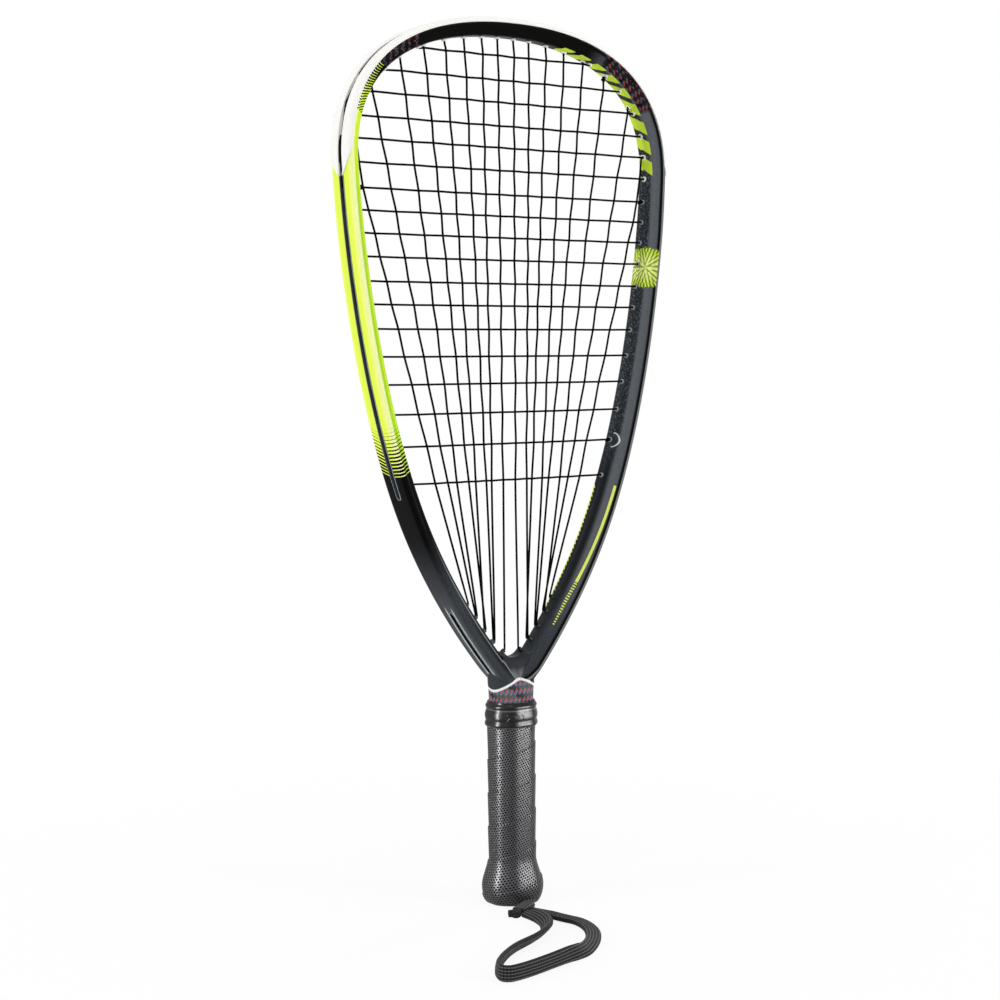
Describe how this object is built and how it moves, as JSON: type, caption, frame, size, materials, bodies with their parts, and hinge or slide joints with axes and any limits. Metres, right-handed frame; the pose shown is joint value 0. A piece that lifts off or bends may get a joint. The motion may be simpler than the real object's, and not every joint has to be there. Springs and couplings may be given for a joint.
{
  "type": "racquetball racket",
  "caption": "Strung racquetball racket: one hoop with an open throat, grommet strips, head guard, woven strings, wrapped grip, butt cap and a wrist cord.",
  "frame": {"origin": "centre of the butt's flat bottom face", "axes": "+Z along the racket from the butt to the tip of the head, X across the string bed, Y through the strings, with the pictured face towards -Y"},
  "size_m": [0.2456, 0.153, 0.5588],
  "materials": {
    "frame_paint": "satin moulded composite, lime on the left limb, grey on the right",
    "guard_white": "white moulded bumper",
    "side_strip_left": "slate grey",
    "side_strip_right": "slate grey",
    "throat_strip_left": "slate grey",
    "throat_strip_right": "slate grey",
    "main_string_black": "black string",
    "cross_string_black": "black string",
    "knot_a": "black string",
    "knot_b": "black string",
    "knot_c": "black string",
    "knot_d": "black string",
    "collar_rubber": "glossy black rubber",
    "finishing_tape_black": "black tape",
    "pallet_front_foam": "foam",
    "pallet_rear_foam": "foam",
    "grip_rubber": "perforated dark grey grip",
    "cap_plastic": "black plastic",
    "staple_left_steel": "bright wire",
    "staple_right_steel": "bright wire",
    "cord_black": "black braided cord",
    "cord_knot_black": "black braided cord",
    "cord_tail_black": "black braided cord"
  },
  "bodies": {
    "root": {"frame": "frame_paint", "head_guard": "guard_white", "side_grommet_strip_left": "side_strip_left", "side_grommet_strip_right": "side_strip_right", "throat_grommet_strip_left": "throat_strip_left", "throat_grommet_strip_right": "throat_strip_right", "main_string": "main_string_black", "cross_string": "cross_string_black", "main_tie_knot_left": "knot_a", "main_tie_knot_right": "knot_b", "cross_tie_knot_top": "knot_c", "cross_tie_knot_bottom": "knot_d", "collar": "collar_rubber", "finishing_tape": "finishing_tape_black", "handle_pallet_front": "pallet_front_foam", "handle_pallet_rear": "pallet_rear_foam", "grip_wrap": "grip_rubber", "butt_cap": "cap_plastic", "butt_cap_staple_left": "staple_left_steel", "butt_cap_staple_right": "staple_right_steel", "lanyard": "cord_black", "lanyard_knot": "cord_knot_black", "lanyard_tail": "cord_tail_black"}
  },
  "joints": []
}
